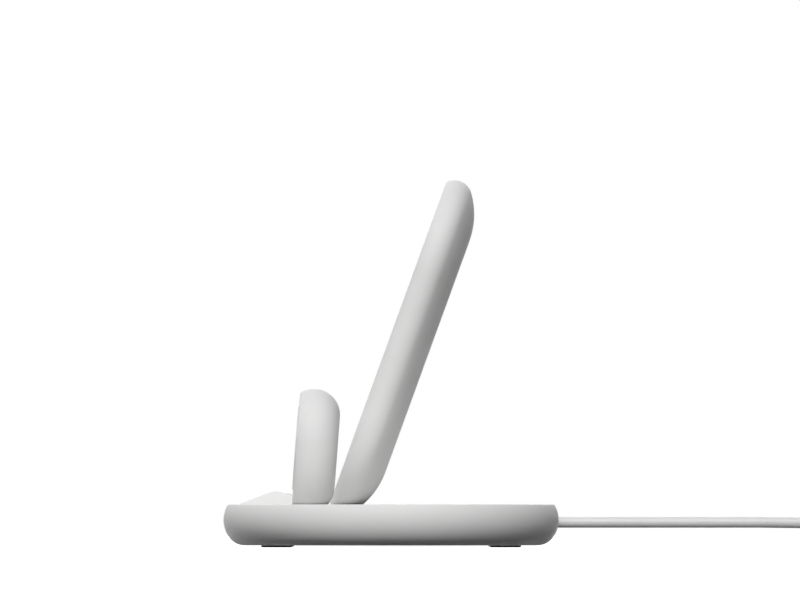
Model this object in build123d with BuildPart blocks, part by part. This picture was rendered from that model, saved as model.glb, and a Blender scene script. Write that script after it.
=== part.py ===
from build123d import *
import os
from math import cos, radians, sin, sqrt, tan

# Three in one wireless charger: a pill-shaped base that carries a leaning phone
# stand, a short watch post and an earbud dish, with one captive power cable.
# Millimetres, +Z up, front towards -Y, origin on the table under the middle of the base.

os.makedirs("parts", exist_ok=True)

# Base: a pebble slab with a sliced-off flat top
base_depth = 105.7          # front to rear over the bulge
base_run = 84.3             # straight length between the two round ends
base_height = 12.9          # flat underside to flat top
base_crown = 4.95           # flat top down to the widest line
base_heel = 6.7             # run of the round under the widest line
base_tuck = 3.1             # how far the edge leads straight down from that line before it rolls under
foot_stand = 0.6            # feet hold the underside off the table

# Shells and inset covers
wall = 2.0
rim = 1.3                   # rim of shell left round an inset cover
ledge = 1.7                 # shelf that carries the cover
seam = 0.15                 # gap round an inset cover
cover_thickness = 2.4       # top cover of the base
face_thickness = 2.0        # front covers of stand and post

# Phone stand
stand_x = -36.0
stand_tilt = 20.0           # degrees back from upright
stand_root = -19.75         # where its face meets the base top
stand_width = 66.0
stand_run = 46.4            # straight length of its pill outline
stand_thickness = 13.3
stand_crown = 4.0
stand_heel = 17.0
stand_tuck = 2.9
stand_sink = 1.1            # round lower end passes the base top by this, along the face

# Watch post
post_x = 45.0
post_tilt = 4.3
post_root = -31.25
post_run = 1.3
post_thickness = 13.0
post_crown = 4.8
post_heel = 8.1
post_tuck = 3.4
post_sink = 2.35
root_wall = 3.2             # solid foot under the hollow of stand and post

# Phone ledge on the top cover
lip_width = 32.0
lip_margin = 1.4            # toe of the ledge inside the edge of the cover
lip_front_slope = 21.0
lip_rear_slope = 14.0
lip_crest_radius = 4.0
lip_corner = 3.0
rest_width = 26.0           # soft strip the phone stands on
rest_length = 10.0
rest_thickness = 1.0
rest_proud = 0.2

# Earbud dish and its coil
dish_x = 45.0
dish_y = 7.0
dish_run = 16.0
dish_width = 46.0
dish_depth = 1.2
dish_slope = 4.0
earbud_coil_outer = 40.0
earbud_coil_inner = 20.0
earbud_coil_thickness = 1.0
earbud_ferrite_thickness = 0.9
coil_clear = 0.1            # glue line between a coil and the cover over it

# Feet
foot_span_x = 116.0
foot_span_y = 72.0
foot_diameter = 9.6

# Ballast and circuit board
ballast_width = 54.0
ballast_depth = 60.0
ballast_corner = 8.0
ballast_thickness = 3.0
board_x = 34.0
board_y = 9.5
board_width = 80.0
board_depth = 41.0
board_thickness = 1.4
board_lift = 1.8            # board rails above the tray floor
rail_width = 2.0
rail_inset = 3.0
inductor_side = 10.0
inductor_height = 3.5
inductor_spacing = 14.0
inductor_x = 6.0
inductor_y = 6.0
capacitor_length = 3.2
capacitor_width = 2.5
capacitor_height = 1.2
capacitor_spacing = 6.0
capacitor_x = 38.0
capacitor_y = 25.5
chip_side = 7.0
chip_height = 1.0
chip_spacing = 18.0
chip_x = 44.0
chip_y = 6.0
connector_width = 8.0
connector_depth = 5.0
connector_height = 4.0
connector_y = 26.0

# Phone coils, one above the other behind the stand's face
phone_coil_outer = 37.0
phone_coil_inner = 17.0
phone_coil_thickness = 1.0
ferrite_margin = 0.5
phone_ferrite_gap = 1.0
phone_ferrite_thickness = 1.2

# Watch puck
puck_diameter = 26.5
puck_proud = 0.3
puck_wall = 1.0
puck_dish = 0.5             # hollow of its face
puck_slope = 3.0            # run of the slope round its floor
puck_brim = 0.8             # flat ring round the hollow
puck_flange = 0.8
puck_flange_clear = 0.35
puck_gap = 0.15
watch_coil_thickness = 1.2
watch_magnet_diameter = 13.0
watch_part_clear = 0.15
watch_shield_thickness = 0.8

# Steel brackets that tie the stands to the tray
sheet = 1.5
bend = 2.5                  # inner bend radius
pad_height = 2.4            # pad on the back wall that a leg is bonded to
slot_clear = 0.3
slot_rise = 12.0            # passage of a leg through the foot of its stand, above the base top
stand_bracket_width = 14.0
stand_bracket_top = 62.0    # leg above the base top, along the stand
stand_bracket_foot = 32.0
stand_pad_rise = 44.0       # middle of the pad above the base top, along the stand
stand_pad_length = 26.0
stand_pad_width = 10.0
post_bracket_width = 13.0
post_bracket_top = 26.0
post_bracket_foot = 16.0
post_pad_rise = 18.0
post_pad_length = 11.0
post_pad_width = 9.0

# Power cable, its outlet, its tied coil and its plug
cable_diameter = 3.5
cable_z = 7.8
cable_bend_y = 92.0         # where the straight stretch ends
cable_drift = 3.0           # degrees off the straight beyond it
cable_second_run = 51.0
outlet_width = 14.0
outlet_depth = 7.5
grommet_diameter = 5.0
grommet_inner = 1.6         # sleeve inside the outlet block
grommet_clear = 0.1
grommet_recess = 0.3
lead_width = 2.8
lead_thickness = 1.4
coil_diameter = 38.5        # middle of the turns
coil_layers = 3             # turns beside each other, and on each other
coil_corner = 1.2           # slanted corners of the bundle of turns
coil_stub = 23.0            # cable leaving the coil along its tangent
tie_gap = 0.4
tie_thickness = 0.5
tie_width = 6.0
tail_run = 38.0             # cable from the coil's stub to the plug
plug_width = 11.0
plug_height = 6.4
plug_length = 20.0
plug_corner = 2.4
plug_neck = 5.5
plug_neck_length = 6.0
plug_shell_width = 8.3
plug_shell_height = 2.5
plug_shell_length = 6.6
plug_shell_wall = 0.3

# Heights and planes that everything hangs on
base_top = foot_stand + base_height
floor_z = foot_stand + wall
cover_seat_z = base_top - cover_thickness
shelf_z = floor_z + ballast_thickness
board_z = floor_z + board_lift
base_plane = Plane.XY.offset(base_top)
floor_plane = Plane.XY.offset(floor_z)
cover_under = Plane.XY.offset(cover_seat_z)


def leaning_plane(x, root, tilt, rise):
    """Plane of a leaning front face: x runs up the face, z out of it, origin at rise."""
    up = Vector(0, sin(radians(tilt)), cos(radians(tilt)))
    front = Vector(0, -cos(radians(tilt)), sin(radians(tilt)))
    return Plane(Vector(x, root, base_top) + up * rise, x_dir=up, z_dir=front)


def edge_join(height, crown, heel, tuck):
    """Where the two arcs of a pebble edge meet: run in from its widest line, and fall below it."""
    drop = height - crown
    reach = (heel**2 + drop**2 - 2 * drop * tuck) / (2 * (heel + tuck))
    run = heel - reach * (heel + tuck) / (reach + tuck)
    fall = tuck * (reach + drop) / (reach + tuck)
    return run, fall


def brow(height, crown, heel, tuck):
    """How far the edge of the flat face lies inside the widest line."""
    run, fall = edge_join(height, crown, heel, tuck)
    radius = (run**2 + fall**2) / (2 * run)
    return radius - sqrt(radius**2 - crown**2)


base_edge = (base_height, base_crown, base_heel, base_tuck)
stand_edge = (stand_thickness, stand_crown, stand_heel, stand_tuck)
post_edge = (post_thickness, post_crown, post_heel, post_tuck)
puck_border = puck_flange + puck_flange_clear + ledge + rim + brow(*post_edge)
post_width = puck_diameter + 2 * puck_border
stand_rise = (stand_run + stand_width) / 2 - stand_sink
post_rise = (post_run + post_width) / 2 - post_sink
stand_plane = leaning_plane(stand_x, stand_root, stand_tilt, stand_rise)
post_plane = leaning_plane(post_x, post_root, post_tilt, post_rise)


def edge_section(half_width, height, crown, heel, tuck):
    """Half section of a sliced pebble: flat face at 0, one bulged arc, one heel arc, flat back."""
    run, fall = edge_join(height, crown, heel, tuck)
    join = (half_width - run, -crown - fall)
    with BuildSketch() as section:
        with BuildLine():
            Line((0, 0), (half_width - brow(height, crown, heel, tuck), 0))
            ThreePointArc((half_width - brow(height, crown, heel, tuck), 0), (half_width, -crown), join)
            TangentArc((half_width - heel, -height), join, tangent=(1, 0))
            Line((half_width - heel, -height), (0, -height))
            Line((0, -height), (0, 0))
        make_face()
    return section.sketch


def plate_section(half_width, thickness):
    """Half section of a flat plate or of the pocket that takes it."""
    with BuildSketch() as section:
        Rectangle(half_width, thickness, align=(Align.MIN, Align.MAX))
    return section.sketch


def hollow_section(half_width, height, crown, heel, tuck, cover):
    """Half section of the room under a cover: straight walls down from its ledge, sloped corner."""
    mouth = half_width - brow(height, crown, heel, tuck) - rim - ledge
    floor_edge = half_width - heel
    across = (mouth - floor_edge) / (heel - wall)
    wall_foot = crown + (height - crown - wall) * sqrt(1 - across**2)
    with BuildSketch() as section:
        with BuildLine():
            Polyline(
                (0, -cover),
                (mouth, -cover),
                (mouth, -wall_foot),
                (floor_edge, wall - height),
                (0, wall - height),
                close=True,
            )
        make_face()
    return section.sketch


def pill(plane, run, section):
    """Pill-shaped solid: its half section runs along the plane's x and turns round both ends."""
    across = Plane(plane.origin, x_dir=plane.y_dir, z_dir=plane.x_dir)
    along = Plane(plane.origin, x_dir=plane.x_dir, z_dir=plane.y_dir)
    end = across.offset(run / 2)
    with BuildPart() as body:
        with BuildSketch(across) as straight:
            add(section)
        extrude(straight.sketch, amount=run / 2)
        with BuildSketch(end) as turned:
            add(section)
        revolve(turned.sketch, axis=Axis(end.origin, plane.z_dir * -1), revolution_arc=90)
        mirror(about=across)
        mirror(about=along)
    return body.part


def above(solid, z):
    """The part of a solid that lies above a height."""
    with BuildPart() as kept:
        add(solid)
        split(bisect_by=Plane.XY.offset(z), keep=Keep.TOP)
    return kept.part


def leg_point(root, tilt, rise, depth):
    """Point of a leaning leg in the side view: up the face by rise, behind it by depth."""
    y = root + rise * sin(radians(tilt)) + depth * cos(radians(tilt))
    z = base_top + rise * cos(radians(tilt)) - depth * sin(radians(tilt))
    return (y, z)


def leg_fold(root, tilt, depth):
    """Where a leg's surface, at a depth behind the face, meets the shelf that its foot lies on."""
    rise = (shelf_z - base_top + depth * sin(radians(tilt))) / cos(radians(tilt))
    return leg_point(root, tilt, rise, depth)


def leg_slot(x, root, tilt, rear, width):
    """Passage for a bracket leg through the foot of its stand and the top cover."""
    low = -2 * cover_thickness
    front = rear - sheet - slot_clear
    with BuildPart() as passage:
        with BuildSketch(Plane.YZ.offset(x)):
            with BuildLine():
                Polyline(
                    leg_point(root, tilt, low, front),
                    leg_point(root, tilt, slot_rise, front),
                    leg_point(root, tilt, slot_rise, rear + slot_clear),
                    leg_point(root, tilt, low, rear + slot_clear),
                    close=True,
                )
            make_face()
        extrude(amount=width / 2 + slot_clear, both=True)
    return passage.part


stand_leg_rear = stand_thickness - wall - pad_height
post_leg_rear = post_thickness - wall - pad_height
stand_fold = leg_fold(stand_root, stand_tilt, stand_leg_rear - sheet)
post_fold = leg_fold(post_root, post_tilt, post_leg_rear)
stand_foot_y = stand_fold[0] + stand_bracket_foot
post_foot_y = post_fold[0] - post_bracket_foot
stand_slot = leg_slot(stand_x, stand_root, stand_tilt, stand_leg_rear, stand_bracket_width)
post_slot = leg_slot(post_x, post_root, post_tilt, post_leg_rear, post_bracket_width)

# Base tray: bulged shell with rails for the board, a block for the watch bracket and the cable outlet
base_half = base_depth / 2
base_pocket = base_half - brow(*base_edge) - rim
base_body = pill(base_plane, base_run, edge_section(base_half, *base_edge))
base_pocket_room = pill(base_plane, base_run, plate_section(base_pocket, cover_thickness))
base_room = pill(base_plane, base_run, hollow_section(base_half, *base_edge, cover_thickness))
outlet_face = base_half - wall - outlet_depth
cable_plane = Plane((0, outlet_face, cable_z), x_dir=(1, 0, 0), z_dir=(0, 1, 0))
rail_pitch = board_depth - 2 * rail_inset
with BuildPart() as outlet_block:
    with BuildSketch(floor_plane):
        with Locations((0, outlet_face)):
            Rectangle(outlet_width, outlet_depth + wall, align=(Align.CENTER, Align.MIN))
    extrude(amount=cover_seat_z - floor_z)
    add(base_body, mode=Mode.INTERSECT)

with BuildPart() as base_tray:
    add(base_body)
    add(base_pocket_room, mode=Mode.SUBTRACT)
    add(base_room, mode=Mode.SUBTRACT)
    with BuildSketch(floor_plane):
        with Locations((board_x, board_y)):
            with GridLocations(board_width, rail_pitch, 1, 2):
                Rectangle(board_width - 2 * rail_inset, rail_width)
    extrude(amount=board_lift)
    with BuildSketch(floor_plane):
        with Locations((post_x, post_foot_y)):
            Rectangle(post_bracket_width, post_bracket_foot - bend - sheet, align=(Align.CENTER, Align.MIN))
    extrude(amount=ballast_thickness)
    add(outlet_block.part)
    with BuildSketch(cable_plane):
        Circle(grommet_diameter / 2 + grommet_clear)
    extrude(amount=outlet_depth + 2 * wall, mode=Mode.SUBTRACT)
base_tray.part.label = "base_tray"
export_step(base_tray.part, "parts/base_tray.step")

# Phone ledge: a low wedge across the front of the cover, sloping down to the foot of the stand
cover_half = base_pocket - seam
toe_y = lip_margin - cover_half
toe_rise = tan(radians(lip_front_slope))
rear_rise = tan(radians(lip_rear_slope))
crest_y = (toe_y * toe_rise + stand_root * rear_rise) / (toe_rise + rear_rise)
crest_z = base_top + (crest_y - toe_y) * toe_rise
with BuildPart() as lip_block:
    with BuildSketch(Plane.YZ.offset(stand_x)) as wedge:
        with BuildLine():
            Polyline((toe_y, base_top), (crest_y, crest_z), (stand_root, base_top), close=True)
        make_face()
        fillet(wedge.vertices().sort_by(Axis.Y)[-1], lip_crest_radius)
    extrude(amount=lip_width / 2, both=True)
    with BuildSketch(base_plane):
        with Locations((stand_x, (toe_y + stand_root) / 2)):
            RectangleRounded(lip_width, stand_root - toe_y, lip_corner)
    extrude(amount=crest_z - base_top, mode=Mode.INTERSECT)

core_front = cover_thickness / cos(radians(lip_front_slope))
core_rear = cover_thickness / cos(radians(lip_rear_slope))
core_toe = toe_y + (core_front - cover_thickness) / toe_rise
core_heel = stand_root - (core_rear - cover_thickness) / rear_rise
core_crest_y = (core_toe * toe_rise + core_heel * rear_rise) / (toe_rise + rear_rise)
core_crest_z = cover_seat_z + (core_crest_y - core_toe) * toe_rise
with BuildPart() as lip_core:
    with BuildSketch(Plane.YZ.offset(stand_x)):
        with BuildLine():
            Polyline(
                (core_toe, cover_seat_z),
                (core_crest_y, core_crest_z),
                (core_heel, cover_seat_z),
                close=True,
            )
        make_face()
    extrude(amount=lip_width / 2 - cover_thickness, both=True)

slope_middle = Vector(stand_x, (crest_y + stand_root) / 2, (crest_z + base_top) / 2)
slope_normal = Vector(0, sin(radians(lip_rear_slope)), cos(radians(lip_rear_slope)))
rest_plane = Plane(slope_middle, x_dir=(1, 0, 0), z_dir=slope_normal).offset(rest_proud)

# Base top cover: inset plate with the ledge, the earbud dish and the passages for the brackets
with BuildSketch() as dish_section:
    with BuildLine():
        Line((0, 0), (dish_width / 2, 0))
        TangentArc((dish_width / 2 - dish_slope, -dish_depth), (dish_width / 2, 0), tangent=(1, 0))
        Line((dish_width / 2 - dish_slope, -dish_depth), (0, -dish_depth))
        Line((0, -dish_depth), (0, 0))
    make_face()
dish_plane = Plane((dish_x, dish_y, base_top))
dish_room = pill(dish_plane, dish_run, dish_section.sketch)
cover_plate = pill(base_plane, base_run, plate_section(cover_half, cover_thickness))

with BuildPart() as base_top_cover:
    add(cover_plate)
    add(lip_block.part)
    add(lip_core.part, mode=Mode.SUBTRACT)
    add(dish_room, mode=Mode.SUBTRACT)
    add(stand_slot, mode=Mode.SUBTRACT)
    add(post_slot, mode=Mode.SUBTRACT)
    with BuildSketch(rest_plane):
        RectangleRounded(rest_width + 2 * seam, rest_length + 2 * seam, rest_thickness)
    extrude(amount=-rest_thickness, mode=Mode.SUBTRACT)
base_top_cover.part.label = "base_top_cover"
export_step(base_top_cover.part, "parts/base_top_cover.step")

# Soft strip let into the slope of the ledge
with BuildPart() as phone_rest_pad:
    with BuildSketch(rest_plane):
        RectangleRounded(rest_width, rest_length, rest_thickness)
    extrude(amount=-rest_thickness)
phone_rest_pad.part.label = "phone_rest_pad"
export_step(phone_rest_pad.part, "parts/phone_rest_pad.step")

# Four rubber feet stuck to the underside
foot_x = foot_span_x / 2
foot_y = foot_span_y / 2
with BuildPart() as foot_front_left:
    with BuildSketch():
        with Locations((-foot_x, -foot_y)):
            Circle(foot_diameter / 2)
    extrude(amount=foot_stand)
foot_front_left.part.label = "foot_front_left"
export_step(foot_front_left.part, "parts/foot_front_left.step")

with BuildPart() as foot_rear_left:
    with BuildSketch():
        with Locations((-foot_x, foot_y)):
            Circle(foot_diameter / 2)
    extrude(amount=foot_stand)
foot_rear_left.part.label = "foot_rear_left"
export_step(foot_rear_left.part, "parts/foot_rear_left.step")

with BuildPart() as foot_front_right:
    with BuildSketch():
        with Locations((foot_x, -foot_y)):
            Circle(foot_diameter / 2)
    extrude(amount=foot_stand)
foot_front_right.part.label = "foot_front_right"
export_step(foot_front_right.part, "parts/foot_front_right.step")

with BuildPart() as foot_rear_right:
    with BuildSketch():
        with Locations((foot_x, foot_y)):
            Circle(foot_diameter / 2)
    extrude(amount=foot_stand)
foot_rear_right.part.label = "foot_rear_right"
export_step(foot_rear_right.part, "parts/foot_rear_right.step")

# Steel ballast on the tray floor, which the foot of the stand's bracket is welded to
with BuildPart() as ballast_plate:
    with BuildSketch(floor_plane) as blank:
        with Locations((stand_x, 0)):
            Rectangle(ballast_width, ballast_depth)
        chamfer(blank.vertices(), ballast_corner)
    extrude(amount=ballast_thickness)
ballast_plate.part.label = "ballast_plate"
export_step(ballast_plate.part, "parts/ballast_plate.step")

# Main circuit board with its inductors, capacitors, chips and cable connector
board_top = Plane.XY.offset(board_z + board_thickness)
with BuildPart() as main_circuit_board:
    with BuildSketch(Plane.XY.offset(board_z)):
        with Locations((board_x, board_y)):
            Rectangle(board_width, board_depth)
    extrude(amount=board_thickness)
main_circuit_board.part.label = "main_circuit_board"
export_step(main_circuit_board.part, "parts/main_circuit_board.step")

with BuildPart() as power_inductors:
    with BuildSketch(board_top):
        with Locations((inductor_x, inductor_y)):
            with GridLocations(inductor_spacing, inductor_spacing, 1, 2):
                Rectangle(inductor_side, inductor_side)
    extrude(amount=inductor_height)
power_inductors.part.label = "power_inductors"
export_step(power_inductors.part, "parts/power_inductors.step")

with BuildPart() as resonant_capacitors:
    with BuildSketch(board_top):
        with Locations((capacitor_x, capacitor_y)):
            with GridLocations(capacitor_spacing, capacitor_spacing, 6, 1):
                Rectangle(capacitor_length, capacitor_width)
    extrude(amount=capacitor_height)
resonant_capacitors.part.label = "resonant_capacitors"
export_step(resonant_capacitors.part, "parts/resonant_capacitors.step")

with BuildPart() as control_chips:
    with BuildSketch(board_top):
        with Locations((chip_x, chip_y)):
            with GridLocations(chip_spacing, chip_spacing, 3, 1):
                Rectangle(chip_side, chip_side)
    extrude(amount=chip_height)
control_chips.part.label = "control_chips"
export_step(control_chips.part, "parts/control_chips.step")

with BuildPart() as cable_connector:
    with BuildSketch(board_top):
        with Locations((0, connector_y)):
            Rectangle(connector_width, connector_depth)
    extrude(amount=connector_height)
cable_connector.part.label = "cable_connector"
export_step(cable_connector.part, "parts/cable_connector.step")

# Earbud coil and its ferrite tile, bonded under the dish
earbud_coil_plane = cover_under.offset(-coil_clear - earbud_coil_thickness)
with BuildPart() as earbud_coil:
    with BuildSketch(earbud_coil_plane):
        with Locations((dish_x, dish_y)):
            Circle(earbud_coil_outer / 2)
            Circle(earbud_coil_inner / 2, mode=Mode.SUBTRACT)
    extrude(amount=earbud_coil_thickness)
earbud_coil.part.label = "earbud_coil"
export_step(earbud_coil.part, "parts/earbud_coil.step")

earbud_ferrite_side = earbud_coil_outer + 2 * ferrite_margin
with BuildPart() as earbud_ferrite:
    with BuildSketch(earbud_coil_plane):
        with Locations((dish_x, dish_y)):
            Rectangle(earbud_ferrite_side, earbud_ferrite_side)
    extrude(amount=-earbud_ferrite_thickness)
earbud_ferrite.part.label = "earbud_ferrite"
export_step(earbud_ferrite.part, "parts/earbud_ferrite.step")

# Phone stand: pebble back shell cut level with the base top, its inset face and its bracket
stand_half = stand_width / 2
stand_pocket = stand_half - brow(*stand_edge) - rim
stand_body = above(pill(stand_plane, stand_run, edge_section(stand_half, *stand_edge)), base_top)
stand_pocket_room = pill(stand_plane, stand_run, plate_section(stand_pocket, face_thickness))
stand_hollow = hollow_section(stand_half, *stand_edge, face_thickness)
stand_room = above(pill(stand_plane, stand_run, stand_hollow), base_top + root_wall)
with BuildPart() as phone_stand_shell:
    add(stand_body)
    add(stand_pocket_room, mode=Mode.SUBTRACT)
    add(stand_room, mode=Mode.SUBTRACT)
    add(stand_slot, mode=Mode.SUBTRACT)
    with BuildSketch(stand_plane.offset(-stand_leg_rear)):
        with Locations((stand_pad_rise - stand_rise, 0)):
            Rectangle(stand_pad_length, stand_pad_width)
    extrude(amount=-pad_height)
phone_stand_shell.part.label = "phone_stand_shell"
export_step(phone_stand_shell.part, "parts/phone_stand_shell.step")

stand_face_plate = pill(stand_plane, stand_run, plate_section(stand_pocket - seam, face_thickness))
with BuildPart() as phone_stand_face:
    add(stand_face_plate)
phone_stand_face.part.label = "phone_stand_face"
export_step(phone_stand_face.part, "parts/phone_stand_face.step")

phone_ferrite_side = phone_coil_outer + 2 * ferrite_margin
phone_coil_pitch = phone_ferrite_side + phone_ferrite_gap
phone_coil_plane = stand_plane.offset(-face_thickness - coil_clear - phone_coil_thickness)
with BuildPart() as upper_phone_coil:
    with BuildSketch(phone_coil_plane):
        with Locations((phone_coil_pitch / 2, 0)):
            Circle(phone_coil_outer / 2)
            Circle(phone_coil_inner / 2, mode=Mode.SUBTRACT)
    extrude(amount=phone_coil_thickness)
upper_phone_coil.part.label = "upper_phone_coil"
export_step(upper_phone_coil.part, "parts/upper_phone_coil.step")

with BuildPart() as lower_phone_coil:
    with BuildSketch(phone_coil_plane):
        with Locations((-phone_coil_pitch / 2, 0)):
            Circle(phone_coil_outer / 2)
            Circle(phone_coil_inner / 2, mode=Mode.SUBTRACT)
    extrude(amount=phone_coil_thickness)
lower_phone_coil.part.label = "lower_phone_coil"
export_step(lower_phone_coil.part, "parts/lower_phone_coil.step")

with BuildPart() as upper_phone_ferrite:
    with BuildSketch(phone_coil_plane):
        with Locations((phone_coil_pitch / 2, 0)):
            Rectangle(phone_ferrite_side, phone_ferrite_side)
    extrude(amount=-phone_ferrite_thickness)
upper_phone_ferrite.part.label = "upper_phone_ferrite"
export_step(upper_phone_ferrite.part, "parts/upper_phone_ferrite.step")

with BuildPart() as lower_phone_ferrite:
    with BuildSketch(phone_coil_plane):
        with Locations((-phone_coil_pitch / 2, 0)):
            Rectangle(phone_ferrite_side, phone_ferrite_side)
    extrude(amount=-phone_ferrite_thickness)
lower_phone_ferrite.part.label = "lower_phone_ferrite"
export_step(lower_phone_ferrite.part, "parts/lower_phone_ferrite.step")

with BuildPart() as phone_stand_bracket:
    with BuildSketch(Plane.YZ.offset(stand_x)):
        with BuildLine():
            FilletPolyline(
                leg_point(stand_root, stand_tilt, stand_bracket_top, stand_leg_rear - sheet),
                stand_fold,
                (stand_foot_y, shelf_z),
                radius=bend + sheet,
            )
            offset(amount=sheet, side=Side.LEFT)
        make_face()
    extrude(amount=stand_bracket_width / 2, both=True)
phone_stand_bracket.part.label = "phone_stand_bracket"
export_step(phone_stand_bracket.part, "parts/phone_stand_bracket.step")

# Watch post: pebble back shell cut level with the base top, and its inset face round the puck
post_half = post_width / 2
post_pocket = post_half - brow(*post_edge) - rim
post_body = above(pill(post_plane, post_run, edge_section(post_half, *post_edge)), base_top)
post_pocket_room = pill(post_plane, post_run, plate_section(post_pocket, face_thickness))
post_hollow = hollow_section(post_half, *post_edge, face_thickness)
post_room = above(pill(post_plane, post_run, post_hollow), base_top + root_wall)
with BuildPart() as watch_post_shell:
    add(post_body)
    add(post_pocket_room, mode=Mode.SUBTRACT)
    add(post_room, mode=Mode.SUBTRACT)
    add(post_slot, mode=Mode.SUBTRACT)
    with BuildSketch(post_plane.offset(-post_leg_rear)):
        with Locations((post_pad_rise - post_rise, 0)):
            Rectangle(post_pad_length, post_pad_width)
    extrude(amount=-pad_height)
watch_post_shell.part.label = "watch_post_shell"
export_step(watch_post_shell.part, "parts/watch_post_shell.step")

puck_radius = puck_diameter / 2
puck_plane = post_plane.shift_origin(post_plane.origin + post_plane.x_dir * (post_run / 2))
post_face_plate = pill(post_plane, post_run, plate_section(post_pocket - seam, face_thickness))
with BuildPart() as watch_post_face:
    add(post_face_plate)
    with BuildSketch(puck_plane):
        Circle(puck_radius + puck_gap)
    extrude(amount=-face_thickness, mode=Mode.SUBTRACT)
watch_post_face.part.label = "watch_post_face"
export_step(watch_post_face.part, "parts/watch_post_face.step")

# Charging puck: flanged cap with a hollow face over a coil and a magnet on a ferrite shield
puck_section = Plane(puck_plane.origin, x_dir=post_plane.y_dir, z_dir=post_plane.x_dir)
puck_room = puck_radius - puck_wall
puck_inside = puck_proud - puck_dish - puck_wall
puck_back = puck_inside - watch_coil_thickness - watch_shield_thickness
with BuildPart() as watch_puck_cap:
    with BuildSketch(puck_section):
        with BuildLine():
            Polyline(
                (puck_radius - puck_brim - puck_slope, puck_proud - puck_dish),
                (puck_radius - puck_brim, puck_proud),
                (puck_radius, puck_proud),
                (puck_radius, -face_thickness),
                (puck_radius + puck_flange, -face_thickness),
                (puck_radius + puck_flange, puck_back),
                (puck_room, puck_back),
                (puck_room, puck_inside),
                (0, puck_inside),
                (0, puck_proud - puck_dish),
                close=True,
            )
        make_face()
    revolve(axis=Axis(puck_plane.origin, puck_plane.z_dir))
watch_puck_cap.part.label = "watch_puck_cap"
export_step(watch_puck_cap.part, "parts/watch_puck_cap.step")

puck_floor = puck_plane.offset(puck_inside)
puck_fill = puck_room - watch_part_clear
with BuildPart() as watch_coil:
    with BuildSketch(puck_floor):
        Circle(puck_fill)
        Circle(watch_magnet_diameter / 2 + watch_part_clear, mode=Mode.SUBTRACT)
    extrude(amount=-watch_coil_thickness)
watch_coil.part.label = "watch_coil"
export_step(watch_coil.part, "parts/watch_coil.step")

with BuildPart() as watch_magnet:
    with BuildSketch(puck_floor):
        Circle(watch_magnet_diameter / 2)
    extrude(amount=-watch_coil_thickness)
watch_magnet.part.label = "watch_magnet"
export_step(watch_magnet.part, "parts/watch_magnet.step")

with BuildPart() as watch_ferrite_shield:
    with BuildSketch(puck_floor.offset(-watch_coil_thickness)):
        Circle(puck_fill)
    extrude(amount=-watch_shield_thickness)
watch_ferrite_shield.part.label = "watch_ferrite_shield"
export_step(watch_ferrite_shield.part, "parts/watch_ferrite_shield.step")

with BuildPart() as watch_post_bracket:
    with BuildSketch(Plane.YZ.offset(post_x)):
        with BuildLine():
            FilletPolyline(
                leg_point(post_root, post_tilt, post_bracket_top, post_leg_rear),
                post_fold,
                (post_foot_y, shelf_z),
                radius=bend + sheet,
            )
            offset(amount=sheet, side=Side.RIGHT)
        make_face()
    extrude(amount=post_bracket_width / 2, both=True)
watch_post_bracket.part.label = "watch_post_bracket"
export_step(watch_post_bracket.part, "parts/watch_post_bracket.step")

# Cable outlet: rubber grommet through the rear wall, and the flat lead from cable to board
cable_start = outlet_face - grommet_inner
with BuildPart() as cable_grommet:
    with BuildSketch(cable_plane.offset(-grommet_inner)):
        Circle(grommet_diameter / 2)
        Circle(cable_diameter / 2 + grommet_clear, mode=Mode.SUBTRACT)
    extrude(amount=grommet_inner + outlet_depth + wall - grommet_recess)
cable_grommet.part.label = "cable_grommet"
export_step(cable_grommet.part, "parts/cable_grommet.step")

connector_face = connector_y + connector_depth / 2
with BuildPart() as cable_leads:
    with BuildSketch(Plane((0, connector_face, cable_z), x_dir=(1, 0, 0), z_dir=(0, 1, 0))):
        Rectangle(lead_width, lead_thickness)
    extrude(amount=cable_start - connector_face)
cable_leads.part.label = "cable_leads"
export_step(cable_leads.part, "parts/cable_leads.step")

# Power cable: straight from the outlet, then a slight drift to a tied coil on the table
ahead = Vector(-sin(radians(cable_drift)), cos(radians(cable_drift)), 0)
aside = Vector(-cos(radians(cable_drift)), -sin(radians(cable_drift)), 0)
cable_entry = Vector(0, cable_start, cable_z)
cable_bend = Vector(0, cable_bend_y, cable_z)
cable_end = cable_bend + ahead * cable_second_run
cable_radius = 0.45 * min(cable_bend_y - cable_start, cable_second_run) / tan(radians(cable_drift / 2))
with BuildPart() as power_cable:
    with BuildLine():
        FilletPolyline(cable_entry, cable_bend, cable_end, radius=cable_radius)
    with BuildSketch(Plane(cable_entry, z_dir=(0, 1, 0))):
        Circle(cable_diameter / 2)
    sweep()
power_cable.part.label = "power_cable"
export_step(power_cable.part, "parts/power_cable.step")

# Tied coil: its turns as one squarish bundle on the table, with a stub of cable at each end
coil_radius = coil_diameter / 2
coil_side = coil_layers * cable_diameter
tie_inner = coil_side + 2 * tie_gap
tie_outer = tie_inner + 2 * tie_thickness
coil_drop = Vector(0, 0, tie_outer / 2 - cable_z)
coil_entry = cable_end + ahead * coil_stub
coil_centre = coil_entry + aside * coil_radius + coil_drop
plug_z = plug_height / 2
coil_exit = coil_centre + ahead * coil_radius + Vector(0, 0, plug_z - coil_centre.Z)
tail_start = coil_exit + aside * coil_stub
with BuildPart() as cable_coil:
    with BuildSketch(Plane(coil_entry + coil_drop, x_dir=aside * -1, z_dir=ahead)) as bundle:
        Rectangle(coil_side, coil_side)
        chamfer(bundle.vertices(), coil_corner)
    revolve(axis=Axis(coil_centre, (0, 0, 1)))
    with BuildSketch(Plane(coil_entry, z_dir=ahead)):
        Circle(cable_diameter / 2)
    extrude(amount=-coil_stub)
    with BuildSketch(Plane(coil_exit, z_dir=aside)):
        Circle(cable_diameter / 2)
    extrude(amount=coil_stub)
cable_coil.part.label = "cable_coil"
export_step(cable_coil.part, "parts/cable_coil.step")

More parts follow.
